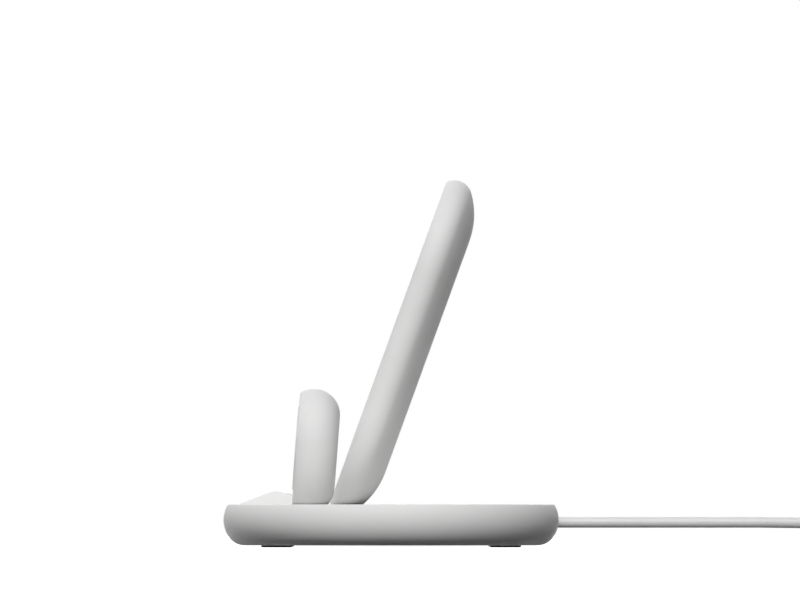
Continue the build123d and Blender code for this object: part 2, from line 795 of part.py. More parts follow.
# Tie round the bundle, with the same slanted corners
tie_plane = Plane(coil_centre + aside * coil_radius, x_dir=aside, z_dir=ahead)
inner_corner = coil_corner + (2 - sqrt(2)) * tie_gap
outer_corner = inner_corner + (2 - sqrt(2)) * tie_thickness
with BuildPart() as cable_tie:
    with BuildSketch(tie_plane) as band:
        Rectangle(tie_outer, tie_outer)
        chamfer(band.vertices(), outer_corner)
    extrude(amount=tie_width / 2, both=True)
    with BuildSketch(tie_plane) as room:
        Rectangle(tie_inner, tie_inner)
        chamfer(room.vertices(), inner_corner)
    extrude(amount=tie_width / 2, both=True, mode=Mode.SUBTRACT)
cable_tie.part.label = "cable_tie"
export_step(cable_tie.part, "parts/cable_tie.step")

tail_end = tail_start + aside * tail_run
with BuildPart() as cable_tail:
    with BuildSketch(Plane(tail_start, z_dir=aside)):
        Circle(cable_diameter / 2)
    extrude(amount=tail_run)
cable_tail.part.label = "cable_tail"
export_step(cable_tail.part, "parts/cable_tail.step")
print("cable radius", round(cable_radius, 1), "coil radius", coil_radius, "diameter", cable_diameter)

# Plug on the free end: moulded grip with a neck, and the folded metal shell
level = Vector(0, 0, 1).cross(aside)
plug_plane = Plane(tail_end, x_dir=level, z_dir=aside)
with BuildPart() as plug_grip:
    with BuildSketch(plug_plane):
        Circle(plug_neck / 2)
    extrude(amount=plug_neck_length)
    with BuildSketch(plug_plane.offset(plug_neck_length)):
        RectangleRounded(plug_width, plug_height, plug_corner)
    extrude(amount=plug_length)
plug_grip.part.label = "plug_grip"
export_step(plug_grip.part, "parts/plug_grip.step")

with BuildPart() as plug_shell:
    with BuildSketch(plug_plane.offset(plug_neck_length + plug_length)):
        SlotOverall(plug_shell_width, plug_shell_height)
        offset(amount=-plug_shell_wall, mode=Mode.SUBTRACT)
    extrude(amount=plug_shell_length)
plug_shell.part.label = "plug_shell"
export_step(plug_shell.part, "parts/plug_shell.step")
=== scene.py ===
import math
import bmesh
import bpy
from mathutils import Matrix, Vector


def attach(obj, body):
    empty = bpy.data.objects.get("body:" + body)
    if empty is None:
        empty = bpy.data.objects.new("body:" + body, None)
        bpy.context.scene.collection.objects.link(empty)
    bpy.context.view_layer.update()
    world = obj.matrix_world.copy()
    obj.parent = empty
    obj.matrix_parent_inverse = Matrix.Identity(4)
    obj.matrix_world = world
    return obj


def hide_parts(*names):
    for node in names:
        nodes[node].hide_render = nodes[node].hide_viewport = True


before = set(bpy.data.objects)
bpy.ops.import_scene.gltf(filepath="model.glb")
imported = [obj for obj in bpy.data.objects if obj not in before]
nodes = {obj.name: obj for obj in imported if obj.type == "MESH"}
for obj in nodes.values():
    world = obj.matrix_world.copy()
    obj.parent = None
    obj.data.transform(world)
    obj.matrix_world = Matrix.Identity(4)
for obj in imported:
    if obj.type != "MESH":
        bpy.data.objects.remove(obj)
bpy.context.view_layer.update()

# Base tray: the pebble-shaped lower shell, one injection moulding in white ABS with a fine
# satin grain. Its flat underside and round edge are one section carried round a pill-shaped
# line; everything else is dropped into it before the top cover closes it.
mm = 0.001
base_half = 52.85 * mm
base_run = 84.3 * mm
base_top = 13.5 * mm
base_edge = (12.9 * mm, 4.95 * mm, 6.7 * mm, 3.1 * mm)      # height, crown, heel, tuck
wall = 2.0 * mm
rim = 1.3 * mm
ledge = 1.7 * mm
seam = 0.15 * mm
cover_thick = 2.4 * mm
cable_height = 7.8 * mm
bore_radius = 2.6 * mm
bore_middle = 45 * mm
bore_inward, bore_outward = -4 * mm, 14 * mm
shell_white = (0.83, 0.83, 0.825, 1)
shell_shade = (0.80, 0.80, 0.795, 1)


def shader(tree, kind, column, **settings):
    """Adds one shader node and sets its properties."""
    made = tree.nodes.new(kind)
    made.location = (220 * column, -180 * len(tree.nodes))
    for key, value in settings.items():
        setattr(made, key, value)
    return made


def moulded_plastic(name, light, dark, rough_low, rough_high, grain, depth, specular):
    """Satin moulding: slow tone drift, patchy gloss and a spark-eroded grain of that size."""
    made = bpy.data.materials.new(name)
    made.use_nodes = True
    tree = made.node_tree
    surface = tree.nodes["Principled BSDF"]
    surface.inputs["Specular IOR Level"].default_value = specular
    place = shader(tree, "ShaderNodeTexCoord", -6)
    drift = shader(tree, "ShaderNodeTexNoise", -5)
    drift.inputs["Scale"].default_value = 28
    drift.inputs["Detail"].default_value = 3
    tone = shader(tree, "ShaderNodeValToRGB", -3)
    tone.color_ramp.elements[0].position = 0.35
    tone.color_ramp.elements[1].position = 0.65
    tone.color_ramp.elements[0].color = dark
    tone.color_ramp.elements[1].color = light
    patch = shader(tree, "ShaderNodeTexNoise", -5)
    patch.inputs["Scale"].default_value = 160
    patch.inputs["Detail"].default_value = 4
    gloss = shader(tree, "ShaderNodeMapRange", -3)
    gloss.inputs["From Min"].default_value = 0.3
    gloss.inputs["From Max"].default_value = 0.7
    gloss.inputs["To Min"].default_value = rough_low
    gloss.inputs["To Max"].default_value = rough_high
    spark = shader(tree, "ShaderNodeTexNoise", -5)
    spark.inputs["Scale"].default_value = 1 / grain
    spark.inputs["Detail"].default_value = 2
    relief = shader(tree, "ShaderNodeBump", -2)
    relief.inputs["Strength"].default_value = 0.35
    relief.inputs["Distance"].default_value = depth
    for texture in (drift, patch, spark):
        tree.links.new(place.outputs["Object"], texture.inputs["Vector"])
    tree.links.new(drift.outputs["Fac"], tone.inputs["Fac"])
    tree.links.new(tone.outputs["Color"], surface.inputs["Base Color"])
    tree.links.new(patch.outputs["Fac"], gloss.inputs["Value"])
    tree.links.new(gloss.outputs["Result"], surface.inputs["Roughness"])
    tree.links.new(spark.outputs["Fac"], relief.inputs["Height"])
    tree.links.new(relief.outputs["Normal"], surface.inputs["Normal"])
    return made


def pebble_join(height, crown, heel, tuck):
    """Where the two arcs of a pebble edge meet: run in from the widest line, and fall below it."""
    drop = height - crown
    reach = (heel**2 + drop**2 - 2 * drop * tuck) / (2 * (heel + tuck))
    run = heel - reach * (heel + tuck) / (reach + tuck)
    fall = tuck * (reach + drop) / (reach + tuck)
    return run, fall


def brow(height, crown, heel, tuck):
    """How far the edge of the flat face lies inside the widest line."""
    run, fall = pebble_join(height, crown, heel, tuck)
    radius = (run**2 + fall**2) / (2 * run)
    return radius - math.sqrt(radius**2 - crown**2)


def eased(points, corner, size, steps=4):
    """Swaps one corner of a section for a small round that starts and ends that far from it."""
    before, tip, after = (Vector(points[i]) for i in (corner - 1, corner, corner + 1))
    start = tip + (before - tip).normalized() * size
    stop = tip + (after - tip).normalized() * size
    shares = [k / steps for k in range(steps + 1)]
    turn = [tuple(start.lerp(tip, t).lerp(tip.lerp(stop, t), t)) for t in shares]
    return points[:corner] + turn + points[corner + 1:]


def pebble_shell(half, edge, cover):
    """Half section of a shell: inner floor, wall, ledge, pocket, rim, bulge and heel."""
    height, crown, heel, tuck = edge
    run, fall = pebble_join(*edge)
    radius = (run**2 + fall**2) / (2 * run)
    pocket = half - brow(*edge) - rim
    mouth = pocket - ledge
    floor_edge = half - heel
    across = (mouth - floor_edge) / (heel - wall)
    wall_foot = crown + (height - crown - wall) * math.sqrt(1 - across**2)
    points = [(floor_edge, wall - height), (mouth, -wall_foot), (mouth, -cover)]
    points += [(pocket, -cover), (pocket, 0)]
    pocket_lip, outer_lip = 4, 5
    side_steps, heel_steps = 24, 16
    high, low = math.asin(crown / radius), -math.asin(fall / radius)
    for step in range(side_steps + 1):
        angle = high + (low - high) * step / side_steps
        points.append((half - radius + radius * math.cos(angle), radius * math.sin(angle) - crown))
    reach, rise = heel - run, height - crown - fall
    heel_radius = (reach**2 + rise**2) / (2 * rise)
    start, stop = math.atan2(rise - heel_radius, reach), -math.pi / 2
    for step in range(1, heel_steps + 1):
        angle = start + (stop - start) * step / heel_steps
        out = floor_edge + heel_radius * math.cos(angle)
        points.append((out, heel_radius * (1 + math.sin(angle)) - height))
    return eased(eased(points, outer_lip, 0.35 * mm), pocket_lip, 0.2 * mm)


pill_moulding = bpy.data.node_groups.new("pill_moulding", "GeometryNodeTree")
for label, kind in (
    ("Section", "NodeSocketGeometry"),
    ("Half width", "NodeSocketFloat"),
    ("Straight run", "NodeSocketFloat"),
    ("Points round", "NodeSocketInt"),
    ("Finish", "NodeSocketMaterial"),
):
    pill_moulding.interface.new_socket(label, in_out="INPUT", socket_type=kind)
pill_moulding.interface.new_socket("Moulding", in_out="OUTPUT", socket_type="NodeSocketGeometry")
given = shader(pill_moulding, "NodeGroupInput", -8)
section_line = shader(pill_moulding, "GeometryNodeMeshToCurve", -6)
ring = shader(pill_moulding, "GeometryNodeCurvePrimitiveCircle", -6)
step_angle = shader(pill_moulding, "ShaderNodeMath", -7, operation="DIVIDE")
step_angle.inputs[0].default_value = math.pi
ring_turn = shader(pill_moulding, "ShaderNodeCombineXYZ", -6)
turned_ring = shader(pill_moulding, "GeometryNodeTransform", -5)
where = shader(pill_moulding, "GeometryNodeInputPosition", -7)
split = shader(pill_moulding, "ShaderNodeSeparateXYZ", -6)
side = shader(pill_moulding, "ShaderNodeMath", -5, operation="SIGN")
half_run = shader(pill_moulding, "ShaderNodeMath", -6, operation="MULTIPLY")
half_run.inputs[1].default_value = 0.5
pull = shader(pill_moulding, "ShaderNodeMath", -4, operation="MULTIPLY")
pull_by = shader(pill_moulding, "ShaderNodeCombineXYZ", -3)
pill_line = shader(pill_moulding, "GeometryNodeSetPosition", -3)
upright = shader(pill_moulding, "GeometryNodeSetCurveNormal", -2, mode="Z_UP")
carried = shader(pill_moulding, "GeometryNodeCurveToMesh", -1)
made_real = shader(pill_moulding, "GeometryNodeRealizeInstances", 0)
painted = shader(pill_moulding, "GeometryNodeSetMaterial", 1)
taken = shader(pill_moulding, "NodeGroupOutput", 2)
for start, stop in (
    (given.outputs["Section"], section_line.inputs[0]),
    (given.outputs["Points round"], ring.inputs["Resolution"]),
    (given.outputs["Half width"], ring.inputs["Radius"]),
    (given.outputs["Points round"], step_angle.inputs[1]),
    (step_angle.outputs[0], ring_turn.inputs["Z"]),
    (ring.outputs["Curve"], turned_ring.inputs["Geometry"]),
    (ring_turn.outputs[0], turned_ring.inputs["Rotation"]),
    (where.outputs[0], split.inputs[0]),
    (split.outputs["X"], side.inputs[0]),
    (given.outputs["Straight run"], half_run.inputs[0]),
    (side.outputs[0], pull.inputs[0]),
    (half_run.outputs[0], pull.inputs[1]),
    (pull.outputs[0], pull_by.inputs["X"]),
    (turned_ring.outputs[0], pill_line.inputs["Geometry"]),
    (pull_by.outputs[0], pill_line.inputs["Offset"]),
    (pill_line.outputs[0], upright.inputs[0]),
    (upright.outputs[0], carried.inputs["Curve"]),
    (section_line.outputs[0], carried.inputs["Profile Curve"]),
    (carried.outputs[0], made_real.inputs[0]),
    (made_real.outputs[0], painted.inputs["Geometry"]),
    (given.outputs["Finish"], painted.inputs["Material"]),
    (painted.outputs[0], taken.inputs[0]),
):
    pill_moulding.links.new(start, stop)


def set_up(piece, tree, **sizes):
    """Runs a node tree on a piece with those inputs and keeps the result as its plain mesh."""
    maker = piece.modifiers.new("maker", "NODES")
    maker.node_group = tree
    for item in tree.interface.items_tree:
        if item.in_out == "INPUT" and item.name.replace(" ", "_").lower() in sizes:
            maker[item.identifier] = sizes[item.name.replace(" ", "_").lower()]
    bpy.context.view_layer.update()
    shape = bpy.data.meshes.new_from_object(piece.evaluated_get(bpy.context.evaluated_depsgraph_get()))
    shape.name = piece.name
    piece.modifiers.remove(maker)
    piece.data = shape
    return piece


def smooth(shape, sharp=32):
    """Soft shading that stops at edges sharper than that."""
    shape.polygons.foreach_set("use_smooth", [True] * len(shape.polygons))
    shape.set_sharp_from_angle(angle=math.radians(sharp))


def moulded(name, section, half, run, place, finish, level=None, around=128):
    """Carries a section round a pill-shaped line, closes its flats and puts it in its place."""
    line = bpy.data.meshes.new(name)
    links = [(i, i + 1) for i in range(len(section) - 1)]
    line.from_pydata([(out - half, -up, 0) for out, up in section], links, [])
    piece = bpy.data.objects.new(name, line)
    bpy.context.scene.collection.objects.link(piece)
    set_up(piece, pill_moulding, half_width=half, straight_run=run, points_round=around, finish=finish)
    body = bmesh.new()
    body.from_mesh(piece.data)
    bmesh.ops.remove_doubles(body, verts=body.verts, dist=1e-7)
    bmesh.ops.holes_fill(body, edges=[e for e in body.edges if e.is_boundary], sides=0)
    bmesh.ops.transform(body, matrix=place, verts=body.verts)
    if level is not None:
        everything = body.verts[:] + body.edges[:] + body.faces[:]
        cut = bmesh.ops.bisect_plane(
            body,
            geom=everything,
            dist=1e-8,
            plane_co=(0, 0, level),
            plane_no=(0, 0, 1),
            clear_inner=True,
        )
        foot = [e for e in cut["geom_cut"] if isinstance(e, bmesh.types.BMEdge)]
        bmesh.ops.triangle_fill(body, use_beauty=True, edges=foot)
    bmesh.ops.recalc_face_normals(body, faces=body.faces)
    body.to_mesh(piece.data)
    body.free()
    smooth(piece.data)
    return piece


def worked(piece, *steps):
    """Joins, cuts or crops a piece with tool solids, which are then thrown away."""
    for operation, tool in steps:
        change = piece.modifiers.new(operation, "BOOLEAN")
        change.operation = operation
        change.object = tool
        change.solver = "EXACT"
    bpy.context.view_layer.update()
    shape = bpy.data.meshes.new_from_object(piece.evaluated_get(bpy.context.evaluated_depsgraph_get()))
    shape.name = piece.name
    piece.modifiers.clear()
    piece.data = shape
    for operation, tool in steps:
        bpy.data.objects.remove(tool)
    smooth(piece.data)
    return piece


def fitted(piece, slot, *stood_for):
    """Fixes a finished piece to the charger in place of CAD nodes."""
    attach(piece, "root")
    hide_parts(*stood_for)


def finish_in(material, *names):
    """Puts a finish on CAD pieces whose shape stays."""
    for name in names:
        nodes[name].data.materials.clear()
        nodes[name].data.materials.append(material)


satin_shell = moulded_plastic(
    "satin_shell",
    light=shell_white,
    dark=shell_shade,
    rough_low=0.40,
    rough_high=0.50,
    grain=0.25 * mm,
    depth=0.015 * mm,
    specular=0.05,
)
on_base = Matrix.Translation((0, 0, base_top))
cable_way = Matrix.Translation((0, bore_middle, cable_height)) @ Matrix.Rotation(-math.pi / 2, 4, "X")
tray_section = pebble_shell(base_half, base_edge, cover_thick)
lower_tray = moulded("lower_tray", tray_section, base_half, base_run, on_base, satin_shell)
bore_section = [(bore_radius, bore_inward), (bore_radius, bore_outward)]
cable_bore = moulded("cable_bore", bore_section, bore_radius, 0, cable_way, satin_shell, around=48)
worked(lower_tray, ("DIFFERENCE", cable_bore))
fitted(lower_tray, "white_shell", "base_tray")

# Rubber feet: four soft black discs with a rounded edge and one groove, glued into the
# corners of the underside. They are what the charger stands on.
foot_x, foot_y = 58 * mm, 36 * mm
foot_radius = 4.8 * mm
foot_height = 0.6 * mm
foot_core = 1.2 * mm
groove_inner, groove_outer = 2.3 * mm, 3.1 * mm
groove_slope, groove_depth = 0.15 * mm, 0.18 * mm
foot_rim = 5             # corner of the section that is rounded
foot_spots = [(x, y, 0) for x in (-foot_x, foot_x) for y in (-foot_y, foot_y)]
foot_section = [
    (foot_core, 0),
    (groove_inner, 0),
    (groove_inner + groove_slope, groove_depth),
    (groove_outer - groove_slope, groove_depth),
    (groove_outer, 0),
    (foot_radius, 0),
    (foot_radius, foot_height),
    (foot_core, foot_height),
]
matt_rubber = moulded_plastic(
    "matt_rubber",
    light=(0.030, 0.030, 0.031, 1),
    dark=(0.020, 0.020, 0.021, 1),
    rough_low=0.72,
    rough_high=0.86,
    grain=0.4 * mm,
    depth=0.04 * mm,
    specular=0.3,
)

copies_on_spots = bpy.data.node_groups.new("copies_on_spots", "GeometryNodeTree")
for label, kind in (
    ("Spots", "NodeSocketGeometry"),
    ("Pattern", "NodeSocketObject"),
    ("Finish", "NodeSocketMaterial"),
):
    copies_on_spots.interface.new_socket(label, in_out="INPUT", socket_type=kind)
copies_on_spots.interface.new_socket("Set", in_out="OUTPUT", socket_type="NodeSocketGeometry")
given = shader(copies_on_spots, "NodeGroupInput", -4)
pattern = shader(copies_on_spots, "GeometryNodeObjectInfo", -3)
copies = shader(copies_on_spots, "GeometryNodeInstanceOnPoints", -2)
made_real = shader(copies_on_spots, "GeometryNodeRealizeInstances", -1)
painted = shader(copies_on_spots, "GeometryNodeSetMaterial", 0)
taken = shader(copies_on_spots, "NodeGroupOutput", 1)
for start, stop in (
    (given.outputs["Spots"], copies.inputs["Points"]),
    (given.outputs["Pattern"], pattern.inputs["Object"]),
    (pattern.outputs["Geometry"], copies.inputs["Instance"]),
    (copies.outputs[0], made_real.inputs[0]),
    (made_real.outputs[0], painted.inputs["Geometry"]),
    (given.outputs["Finish"], painted.inputs["Material"]),
    (painted.outputs[0], taken.inputs[0]),
):
    copies_on_spots.links.new(start, stop)

rounded_foot = eased(foot_section, foot_rim, 0.2 * mm)
one_foot = moulded("one_foot", rounded_foot, foot_radius, 0, Matrix(), matt_rubber, around=64)
spots = bpy.data.meshes.new("rubber_feet")
spots.from_pydata(foot_spots, [], [])
rubber_feet = bpy.data.objects.new("rubber_feet", spots)
bpy.context.scene.collection.objects.link(rubber_feet)
set_up(rubber_feet, copies_on_spots, pattern=one_foot, finish=matt_rubber)
bpy.data.objects.remove(one_foot)
smooth(rubber_feet.data)
foot_nodes = ["foot_front_left", "foot_rear_left", "foot_front_right", "foot_rear_right"]
fitted(rubber_feet, "foot_rubber", *foot_nodes)

# Ballast and brackets: cold-rolled steel, sheared and bent, with the fine lines of the rolls.
# The ballast is glued to the tray floor and the brackets tie both stands down to it.


def rolled_metal(name, light, dark, rough_low, rough_high, lines):
    """Bare metal with drawn-out lines along x in its tone and its gloss."""
    made = bpy.data.materials.new(name)
    made.use_nodes = True
    tree = made.node_tree
    surface = tree.nodes["Principled BSDF"]
    surface.inputs["Metallic"].default_value = 1
    place = shader(tree, "ShaderNodeTexCoord", -6)
    drawn = shader(tree, "ShaderNodeMapping", -5)
    drawn.inputs["Scale"].default_value = (0.04, 1, 1)
    streak = shader(tree, "ShaderNodeTexNoise", -4)
    streak.inputs["Scale"].default_value = lines
    streak.inputs["Detail"].default_value = 3
    tone = shader(tree, "ShaderNodeValToRGB", -3)
    tone.color_ramp.elements[0].position = 0.3
    tone.color_ramp.elements[1].position = 0.7
    tone.color_ramp.elements[0].color = dark
    tone.color_ramp.elements[1].color = light
    gloss = shader(tree, "ShaderNodeMapRange", -3)
    gloss.inputs["From Min"].default_value = 0.3
    gloss.inputs["From Max"].default_value = 0.7
    gloss.inputs["To Min"].default_value = rough_low
    gloss.inputs["To Max"].default_value = rough_high
    relief = shader(tree, "ShaderNodeBump", -2)
    relief.inputs["Strength"].default_value = 0.2
    relief.inputs["Distance"].default_value = 0.00001
    tree.links.new(place.outputs["Object"], drawn.inputs["Vector"])
    tree.links.new(drawn.outputs["Vector"], streak.inputs["Vector"])
    tree.links.new(streak.outputs["Fac"], tone.inputs["Fac"])
    tree.links.new(streak.outputs["Fac"], gloss.inputs["Value"])
    tree.links.new(streak.outputs["Fac"], relief.inputs["Height"])
    tree.links.new(tone.outputs["Color"], surface.inputs["Base Color"])
    tree.links.new(gloss.outputs["Result"], surface.inputs["Roughness"])
    tree.links.new(relief.outputs["Normal"], surface.inputs["Normal"])
    return made


rolled_steel = rolled_metal(
    "rolled_steel",
    light=(0.56, 0.57, 0.58, 1),
    dark=(0.42, 0.43, 0.44, 1),
    rough_low=0.28,
    rough_high=0.42,
    lines=3000,
)
finish_in(rolled_steel, "ballast_plate", "phone_stand_bracket", "watch_post_bracket")

# Circuit board and its parts: green solder mask over glass cloth, dark moulded inductors and
# chips, tan ceramic capacitors and a cream connector, all soldered to the board.
solder_mask = moulded_plastic(
    "solder_mask",
    light=(0.018, 0.16, 0.060, 1),
    dark=(0.010, 0.10, 0.038, 1),
    rough_low=0.25,
    rough_high=0.38,
    grain=0.6 * mm,
    depth=0.03 * mm,
    specular=0.5,
)
dark_moulding = moulded_plastic(
    "dark_moulding",
    light=(0.035, 0.035, 0.037, 1),
    dark=(0.022, 0.022, 0.024, 1),
    rough_low=0.55,
    rough_high=0.70,
    grain=0.2 * mm,
    depth=0.02 * mm,
    specular=0.4,
)
tan_ceramic = moulded_plastic(
    "tan_ceramic",
    light=(0.50, 0.36, 0.22, 1),
    dark=(0.42, 0.29, 0.17, 1),
    rough_low=0.35,
    rough_high=0.50,
    grain=0.2 * mm,
    depth=0.01 * mm,
    specular=0.5,
)
cream_nylon = moulded_plastic(
    "cream_nylon",
    light=(0.76, 0.71, 0.58, 1),
    dark=(0.70, 0.65, 0.52, 1),
    rough_low=0.40,
    rough_high=0.52,
    grain=0.3 * mm,
    depth=0.01 * mm,
    specular=0.45,
)
finish_in(solder_mask, "main_circuit_board")
finish_in(dark_moulding, "power_inductors", "control_chips")
finish_in(tan_ceramic, "resonant_capacitors")
finish_in(cream_nylon, "cable_connector")

# Charging coils: flat spirals of enamelled copper wire, one layer each, bonded on a tile of
# grey sintered ferrite: one under the dish and two, one above the other, behind the stand.
stand_x = -36 * mm
stand_tilt = math.radians(20)
stand_root = -19.75 * mm
stand_half = 33 * mm
stand_run = 46.4 * mm
stand_edge = (13.3 * mm, 4.0 * mm, 17.0 * mm, 2.9 * mm)
stand_sink = 1.1 * mm    # cut off below the base top, along the stand
stand_rise = stand_run / 2 + stand_half - stand_sink
face_thick = 2.0 * mm
glue = 0.1 * mm
phone_coil_step = 39 * mm
phone_coil_inner, phone_coil_outer = 8.5 * mm, 18.5 * mm
dish_x, dish_y = 45 * mm, 7 * mm
dish_coil_inner, dish_coil_outer = 10 * mm, 20 * mm
coil_wire = 1.0 * mm


def leaning(x, root, tilt, rise, out=0.0):
    """Frame of a leaning face: x runs up the face and z out of it."""
    up = Vector((0, math.sin(tilt), math.cos(tilt)))
    front = Vector((0, -math.cos(tilt), math.sin(tilt)))
    spot = Vector((x, root, base_top)) + up * rise + front * out
    turn = Matrix((up, front.cross(up), front)).transposed().to_4x4()
    return Matrix.Translation(spot) @ turn


wound_wire = bpy.data.node_groups.new("wound_wire", "GeometryNodeTree")
for label, kind in (
    ("Start", "NodeSocketGeometry"),
    ("Inner radius", "NodeSocketFloat"),
    ("Outer radius", "NodeSocketFloat"),
    ("Turns", "NodeSocketFloat"),
    ("Wire radius", "NodeSocketFloat"),
    ("Finish", "NodeSocketMaterial"),
):
    wound_wire.interface.new_socket(label, in_out="INPUT", socket_type=kind)
wound_wire.interface.new_socket("Coil", in_out="OUTPUT", socket_type="NodeSocketGeometry")
given = shader(wound_wire, "NodeGroupInput", -5)
spiral = shader(wound_wire, "GeometryNodeCurveSpiral", -4)
spiral.inputs["Resolution"].default_value = 48
spiral.inputs["Height"].default_value = 0
wire = shader(wound_wire, "GeometryNodeCurvePrimitiveCircle", -4)
wire.inputs["Resolution"].default_value = 8
drawn_wire = shader(wound_wire, "GeometryNodeCurveToMesh", -3)
drawn_wire.inputs["Fill Caps"].default_value = True
made_real = shader(wound_wire, "GeometryNodeRealizeInstances", -2)
painted = shader(wound_wire, "GeometryNodeSetMaterial", -1)
taken = shader(wound_wire, "NodeGroupOutput", 0)
for start, stop in (
    (given.outputs["Inner radius"], spiral.inputs["Start Radius"]),
    (given.outputs["Outer radius"], spiral.inputs["End Radius"]),
    (given.outputs["Turns"], spiral.inputs["Rotations"]),
    (given.outputs["Wire radius"], wire.inputs["Radius"]),
    (spiral.outputs[0], drawn_wire.inputs["Curve"]),
    (wire.outputs["Curve"], drawn_wire.inputs["Profile Curve"]),
    (drawn_wire.outputs[0], made_real.inputs[0]),
    (made_real.outputs[0], painted.inputs["Geometry"]),
    (given.outputs["Finish"], painted.inputs["Material"]),
    (painted.outputs[0], taken.inputs[0]),
):
    wound_wire.links.new(start, stop)


def wound_coil(name, inner, outer, thick, place, stood_for):
    """A flat spiral of round wire that fills a ring, laid on a frame."""
    piece = bpy.data.objects.new(name, bpy.data.meshes.new(name))
    bpy.context.scene.collection.objects.link(piece)
    turns = (outer - inner) / thick - 1
    set_up(
        piece,
        wound_wire,
        inner_radius=inner + thick / 2,
        outer_radius=outer - thick / 2,
        turns=turns,
        wire_radius=thick * 0.49,
        finish=enamelled_copper,
    )
    piece.data.transform(place)
    smooth(piece.data, 60)
    fitted(piece, "coil_copper", stood_for)
    return piece


enamelled_copper = rolled_metal(
    "enamelled_copper",
    light=(0.70, 0.32, 0.14, 1),
    dark=(0.52, 0.21, 0.08, 1),
    rough_low=0.22,
    rough_high=0.36,
    lines=900,
)
sintered_ferrite = moulded_plastic(
    "sintered_ferrite",
    light=(0.085, 0.085, 0.090, 1),
    dark=(0.055, 0.055, 0.060, 1),
    rough_low=0.60,
    rough_high=0.78,
    grain=0.3 * mm,
    depth=0.04 * mm,
    specular=0.35,
)
finish_in(sintered_ferrite, "earbud_ferrite", "upper_phone_ferrite", "lower_phone_ferrite")
under_dish = Matrix.Translation((dish_x, dish_y, base_top - cover_thick - glue - coil_wire / 2))
wound_coil("dish_coil", dish_coil_inner, dish_coil_outer, coil_wire, under_dish, "earbud_coil")
behind_face = -face_thick - glue - coil_wire / 2
for name, shift, stood_for in (
    ("upper_stand_coil", phone_coil_step / 2, "upper_phone_coil"),
    ("lower_stand_coil", -phone_coil_step / 2, "lower_phone_coil"),
):
    place = leaning(stand_x, stand_root, stand_tilt, stand_rise + shift, behind_face)
    wound_coil(name, phone_coil_inner, phone_coil_outer, coil_wire, place, stood_for)

# Top cover: a flat satin plate let into the rim of the tray on a ledge, with a hair-line seam
# all round. The shallow dish and the wedge that the phone stands on are moulded in one with it.
cover_half = base_half - brow(*base_edge) - rim - seam
post_x = 45 * mm
post_tilt = math.radians(4.3)
post_root = -31.25 * mm
rear_slope = math.radians(14)
lip_front = math.tan(math.radians(21))
lip_rear = math.tan(rear_slope)
toe_gap = 1.4 * mm
wedge_half = 16 * mm
wedge_sink = 1 * mm
dish_floor_half, dish_half = 19 * mm, 25 * mm
dish_run = 16 * mm
dish_depth, dish_slope = 1.2 * mm, 4 * mm
dish_steps = 12
tool_top = 3 * mm        # cutting tools end this far above the surface
strip_length, strip_width = 26 * mm, 10 * mm
strip_sink, strip_proud = 0.8 * mm, 0.2 * mm
strip_gap = 0.15 * mm
leg_sheet, leg_clear = 1.5 * mm, 0.3 * mm
stand_leg_depth, stand_leg_width = 8.9 * mm, 14 * mm
post_leg_depth, post_leg_width = 8.6 * mm, 13 * mm
toe_y = toe_gap - cover_half
crest_y = (toe_y * lip_front + stand_root * lip_rear) / (lip_front + lip_rear)
crest_z = base_top + (crest_y - toe_y) * lip_front
rest_middle = Vector((stand_x, (crest_y + stand_root) / 2, (crest_z + base_top) / 2))
on_slope = Matrix.Translation(rest_middle) @ Matrix.Rotation(-rear_slope, 4, "X")


def plate_section(half, thick):
    """Half section of an inset plate with a softened top edge."""
    points = [(half - 1 * mm, 0), (half, 0), (half, -thick), (half - 1 * mm, -thick)]
    return eased(points, 1, 0.25 * mm)


def block(name, outline, low, high, place):
    """A straight block from an outline of points, between two heights over a frame."""
    body = bmesh.new()
    rings = [[body.verts.new(place @ Vector((x, y, z))) for x, y in outline] for z in (low, high)]
    body.faces.new(rings[0])
    body.faces.new(rings[1])
    for i in range(len(outline)):
        j = (i + 1) % len(outline)
        body.faces.new((rings[0][i], rings[0][j], rings[1][j], rings[1][i]))
    bmesh.ops.recalc_face_normals(body, faces=body.faces)
    shape = bpy.data.meshes.new(name)
    body.to_mesh(shape)
    body.free()
    made = bpy.data.objects.new(name, shape)
    bpy.context.scene.collection.objects.link(made)
    return made


def round_corners(width, depth, radius, steps=8):
    """Outline of a rectangle with round corners, centred."""
    points = []
    for quarter, (sx, sy) in enumerate(((1, 1), (-1, 1), (-1, -1), (1, -1))):
        for step in range(steps + 1):
            angle = math.pi / 2 * (quarter + step / steps)
            x = sx * (width / 2 - radius) + radius * math.cos(angle)
            points.append((x, sy * (depth / 2 - radius) + radius * math.sin(angle)))
    return points


def softened(piece, width, segments=3):
    """Rounds the sharp edges of a piece."""
    edge = piece.modifiers.new("edge", "BEVEL")
    edge.width = width
    edge.segments = segments
    edge.limit_method = "ANGLE"
    edge.angle_limit = math.radians(35)
    bpy.context.view_layer.update()
    shape = bpy.data.meshes.new_from_object(piece.evaluated_get(bpy.context.evaluated_depsgraph_get()))
    shape.name = piece.name
    piece.modifiers.remove(edge)
    piece.data = shape
    smooth(piece.data, 40)
    return piece


